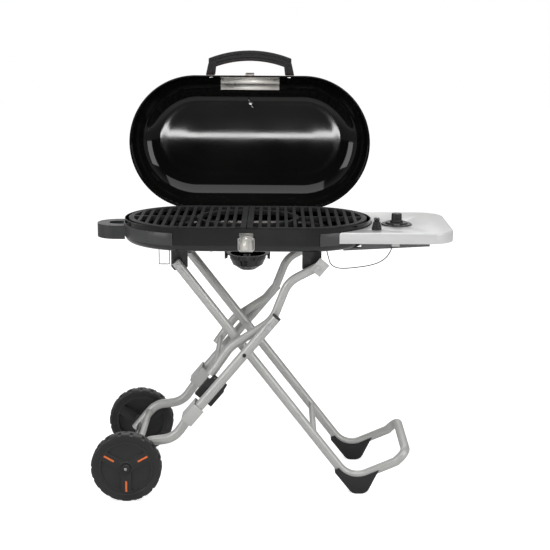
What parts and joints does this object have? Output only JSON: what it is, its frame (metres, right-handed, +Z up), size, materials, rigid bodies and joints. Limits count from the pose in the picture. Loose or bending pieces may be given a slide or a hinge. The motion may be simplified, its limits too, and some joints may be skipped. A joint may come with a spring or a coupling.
{
  "type": "folding camp grill",
  "caption": "Folding gas grill with an open domed lid, side table and drip cup, on a cross-tube trolley stand with wheels.",
  "frame": {"origin": "on the floor, under the middle of the whole grill's outline as it stands with its lid open", "axes": "+Z up; +X towards the side table, on the cook's right; the cook stands on the -Y side and the lid opens towards +Y"},
  "size_m": [0.914, 0.5545, 1.1222],
  "materials": {
    "pan_enamel": "gloss black enamel",
    "cast_grate": "matte black enamel on cast iron",
    "dark_steel": "satin dark grey paint",
    "burner_steel": "heat-darkened steel",
    "valve_metal": "cast, satin",
    "inlet_brass": "machined",
    "bracket_paint": "satin dark grey paint",
    "handle_plastic": "fine texture",
    "table_paint": "satin silver-grey paint",
    "bezel_plastic": "gloss black",
    "knob_plastic": "satin black",
    "igniter_plastic": "satin black",
    "latch_steel": "satin stainless steel",
    "hinge_steel": "satin steel",
    "pin_steel": "zinc plated",
    "black_bracket": "satin black paint",
    "clip_plastic": "white nylon",
    "wire_insulation": "smooth black",
    "lid_enamel": "gloss orange-red enamel outside, gloss black inside",
    "grip_plastic": "ribbed, satin black",
    "plate_steel": "bright stainless steel",
    "gauge_steel": "polished",
    "cup_enamel": "gloss black enamel",
    "tube_paint": "satin silver-grey paint",
    "foot_rubber": "matte black",
    "cap_plastic": "matte black",
    "link_end_paint": "satin light grey paint",
    "lock_steel": "yellow zinc plated",
    "lock_plastic": "matte black",
    "tyre_plastic": "matte, lugged",
    "wheel_plastic": "fine texture",
    "insert_orange": "semi-gloss orange"
  },
  "bodies": {
    "grill": {"firebox_pan": "pan_enamel", "grate_left": "cast_grate", "grate_right": "cast_grate", "grate_rests": "dark_steel", "burner": "burner_steel", "gas_pipe": "dark_steel", "gas_valve": "valve_metal", "gas_inlet": "inlet_brass", "end_bracket_left": "bracket_paint", "end_bracket_right": "bracket_paint", "pull_handle": "handle_plastic", "side_table": "table_paint", "table_rails": "dark_steel", "knob_bezel": "bezel_plastic", "igniter_base": "igniter_plastic", "cup_rails": "black_bracket", "latch_base": "latch_steel", "hinge_leaves_lower": "hinge_steel", "hinge_pins": "pin_steel", "pivot_pins": "pin_steel", "leg_brackets_left": "black_bracket", "leg_brackets_right": "black_bracket", "wire_glands": "clip_plastic", "igniter_wire": "wire_insulation"},
    "lid": {"lid_shell": "lid_enamel", "lid_handle_posts": "handle_plastic", "lid_handle_grip": "grip_plastic", "lid_inner_plate": "plate_steel", "thermometer": "gauge_steel", "lid_catch": "latch_steel", "hinge_leaves_upper": "hinge_steel"},
    "knob": {"control_knob": "knob_plastic"},
    "button": {"igniter_button": "igniter_plastic"},
    "latch": {"latch_lever": "latch_steel"},
    "bail": {"latch_bail": "pin_steel"},
    "cup": {"drip_cup": "cup_enamel"},
    "foot": {"foot_frame": "tube_paint", "foot_crossbar": "tube_paint", "foot_pads": "foot_rubber", "cross_pins": "pin_steel"},
    "link": {"upper_link_front": "tube_paint", "upper_link_rear": "tube_paint", "link_crossbar": "tube_paint", "link_end_plates": "link_end_paint", "lock_plate": "lock_steel", "knee_pins": "pin_steel"},
    "leg": {"wheel_leg_front": "tube_paint", "wheel_leg_rear": "tube_paint", "leg_caps": "cap_plastic", "wheel_tubes": "tube_paint", "joint_plates": "link_end_paint", "brace_rod": "tube_paint", "wheel_axle": "pin_steel"},
    "lock": {"lock_block": "lock_plastic"},
    "wheel_front": {"tyre_front": "tyre_plastic", "wheel_rim_front": "wheel_plastic", "wheel_inserts_front": "insert_orange"},
    "wheel_rear": {"tyre_rear": "tyre_plastic", "wheel_rim_rear": "wheel_plastic", "wheel_inserts_rear": "insert_orange"}
  },
  "joints": [
    {"name": "lid_hinge", "type": "hinge", "parent": "grill", "child": "lid", "pos_m": [-0.062, 0.121, 0.689], "axis": [1, 0, 0], "range_deg": [0, 91.2]},
    {"name": "stand_fold", "type": "hinge", "parent": "grill", "child": "foot", "pos_m": [-0.232, 0, 0.601], "axis": [0, -1, 0], "range_deg": [0, 34]},
    {"name": "link_fold", "type": "hinge", "parent": "grill", "child": "link", "pos_m": [0.114, 0, 0.604], "axis": [0, -1, 0], "range_deg": [-32.1, 0]},
    {"name": "leg_fold", "type": "hinge", "parent": "link", "child": "leg", "pos_m": [-0.00597, 0, 0.45929], "axis": [0, -1, 0], "range_deg": [0, 143.7]},
    {"name": "lock_release", "type": "hinge", "parent": "link", "child": "lock", "pos_m": [-0.14639, -0.215, 0.28993], "axis": [0, -1, 0], "range_deg": [0, 15], "stiffness_Nm_per_rad": 0.2, "springref_deg": -11.46},
    {"name": "wheel_front_spin", "type": "hinge", "parent": "leg", "child": "wheel_front", "pos_m": [-0.367, -0.249, 0.09], "axis": [0, -1, 0], "continuous": true},
    {"name": "wheel_rear_spin", "type": "hinge", "parent": "leg", "child": "wheel_rear", "pos_m": [-0.367, 0.119, 0.09], "axis": [0, -1, 0], "continuous": true},
    {"name": "knob_turn", "type": "hinge", "parent": "grill", "child": "knob", "pos_m": [0.32, -0.101, 0.7], "axis": [0, 0, -1], "range_deg": [0, 270]},
    {"name": "button_press", "type": "slide", "parent": "grill", "child": "button", "axis": [0, 0, -1], "range_m": [0, 0.004], "stiffness_N_per_m": 200, "springref_m": -0.002},
    {"name": "latch_turn", "type": "hinge", "parent": "grill", "child": "latch", "pos_m": [-0.062, -0.2475, 0.652], "axis": [1, 0, 0], "range_deg": [0, 75]},
    {"name": "bail_swing", "type": "hinge", "parent": "latch", "child": "bail", "pos_m": [-0.062, -0.252, 0.684], "axis": [-1, 0, 0], "range_deg": [0, 150]},
    {"name": "cup_slide", "type": "slide", "parent": "grill", "child": "cup", "axis": [0, -1, 0], "range_m": [0, 0.12]}
  ],
  "couplings": [
    {"joint": "link_fold", "follows": "stand_fold", "ratio": -0.944},
    {"joint": "leg_fold", "follows": "stand_fold", "ratio": 4.226}
  ]
}
